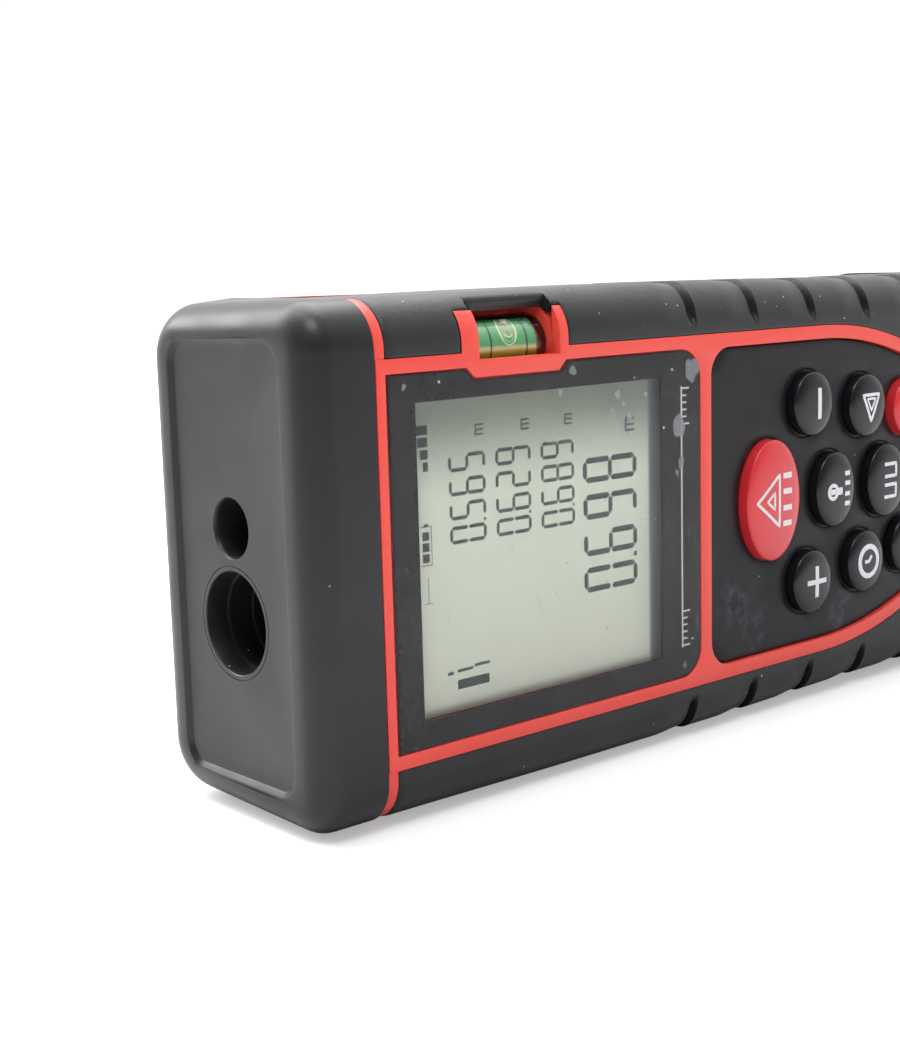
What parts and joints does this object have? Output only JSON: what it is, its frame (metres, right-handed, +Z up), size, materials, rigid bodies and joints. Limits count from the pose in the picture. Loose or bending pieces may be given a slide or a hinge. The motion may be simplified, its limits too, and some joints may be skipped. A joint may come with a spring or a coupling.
{
  "type": "laser distance meter",
  "caption": "Pocket laser distance meter in red and black shells, with a liquid crystal display, a domed keypad, a bubble level and ribbed side grips.",
  "frame": {"origin": "under the middle of the meter, on the surface that it stands on with its left long side", "axes": "+X runs from the laser end to the tail, -Y is the way the display faces, +Z is up, towards the meter's right side"},
  "size_m": [0.115, 0.0272, 0.048],
  "materials": {
    "black_plastic": "fine matt moulding",
    "red_plastic": "satin moulding",
    "grip_rubber": "finely grained soft-touch rubber",
    "label_foil": "blank matt foil",
    "window_acrylic": "clear acrylic with a black printed border behind it",
    "lcd_glass": "grey-green reflective liquid crystal glass",
    "white_plastic": "plain moulding",
    "light_guide": "translucent",
    "polyimide": "thin amber film",
    "keypad_rubber": "matt silicone",
    "red_key": "glossy dome",
    "black_key": "glossy dome",
    "tinned_steel": "bright tin plate",
    "green_laminate": "solder-masked glass laminate",
    "chip_epoxy": "moulded epoxy",
    "clear_glass": "polished",
    "filter_glass": "red band filter",
    "brass": "turned",
    "vial_acrylic": "polished acrylic",
    "vial_liquid": "yellow-green spirit",
    "cell_jacket": "printed sleeve, blank",
    "foam": "closed-cell foam",
    "screw_steel": "zinc plated"
  },
  "bodies": {
    "housing": {"nose_cap": "black_plastic", "front_shell": "red_plastic", "rear_shell": "red_plastic", "right_grip": "grip_rubber", "left_grip": "grip_rubber", "tail_cap": "grip_rubber", "back_pad": "black_plastic", "back_label": "label_foil", "display_window": "window_acrylic", "lcd_glass": "lcd_glass", "lcd_holder": "white_plastic", "lcd_backlight": "light_guide", "lcd_ribbon": "polyimide", "keypad_panel": "keypad_rubber", "key_switches": "tinned_steel", "main_pcb": "green_laminate", "pcb_chips": "chip_epoxy", "buzzer": "chip_epoxy", "optics_frame": "black_plastic", "receiver_lens": "clear_glass", "receiver_filter": "filter_glass", "receiver_board": "green_laminate", "photodiode": "tinned_steel", "laser_barrel": "brass", "laser_lens": "clear_glass", "laser_diode": "tinned_steel", "vial_tube": "vial_acrylic", "vial_liquid": "vial_liquid", "vial_plug": "black_plastic", "cell_a": "cell_jacket", "cell_b": "cell_jacket", "contact_springs": "tinned_steel", "contact_plates": "tinned_steel", "case_screws": "screw_steel", "pcb_screws": "screw_steel"},
    "key_measure": {"key_measure": "red_key"},
    "key_minus": {"key_minus": "black_key"},
    "key_plus": {"key_plus": "black_key"},
    "key_light": {"key_light": "black_key"},
    "key_angle": {"key_angle": "black_key"},
    "key_history": {"key_history": "black_key"},
    "key_area": {"key_area": "black_key"},
    "key_off": {"key_off": "red_key"},
    "key_reference": {"key_reference": "black_key"},
    "cover": {"battery_cover": "black_plastic", "cover_foam": "foam"}
  },
  "joints": [
    {"name": "key_measure_press", "type": "slide", "parent": "housing", "child": "key_measure", "axis": [0, 1, 0], "range_m": [0, 0.0008], "stiffness_N_per_m": 1500},
    {"name": "key_minus_press", "type": "slide", "parent": "housing", "child": "key_minus", "axis": [0, 1, 0], "range_m": [0, 0.0008], "stiffness_N_per_m": 1500},
    {"name": "key_plus_press", "type": "slide", "parent": "housing", "child": "key_plus", "axis": [0, 1, 0], "range_m": [0, 0.0008], "stiffness_N_per_m": 1500},
    {"name": "key_light_press", "type": "slide", "parent": "housing", "child": "key_light", "axis": [0, 1, 0], "range_m": [0, 0.0008], "stiffness_N_per_m": 1500},
    {"name": "key_angle_press", "type": "slide", "parent": "housing", "child": "key_angle", "axis": [0, 1, 0], "range_m": [0, 0.0008], "stiffness_N_per_m": 1500},
    {"name": "key_history_press", "type": "slide", "parent": "housing", "child": "key_history", "axis": [0, 1, 0], "range_m": [0, 0.0008], "stiffness_N_per_m": 1500},
    {"name": "key_area_press", "type": "slide", "parent": "housing", "child": "key_area", "axis": [0, 1, 0], "range_m": [0, 0.0008], "stiffness_N_per_m": 1500},
    {"name": "key_off_press", "type": "slide", "parent": "housing", "child": "key_off", "axis": [0, 1, 0], "range_m": [0, 0.0008], "stiffness_N_per_m": 1500},
    {"name": "key_reference_press", "type": "slide", "parent": "housing", "child": "key_reference", "axis": [0, 1, 0], "range_m": [0, 0.0008], "stiffness_N_per_m": 1500},
    {"name": "cover_hinge", "type": "hinge", "parent": "housing", "child": "cover", "pos_m": [-0.00305, 0.01275, 0.024], "axis": [0, 0, 1], "range_deg": [0, 65]}
  ]
}
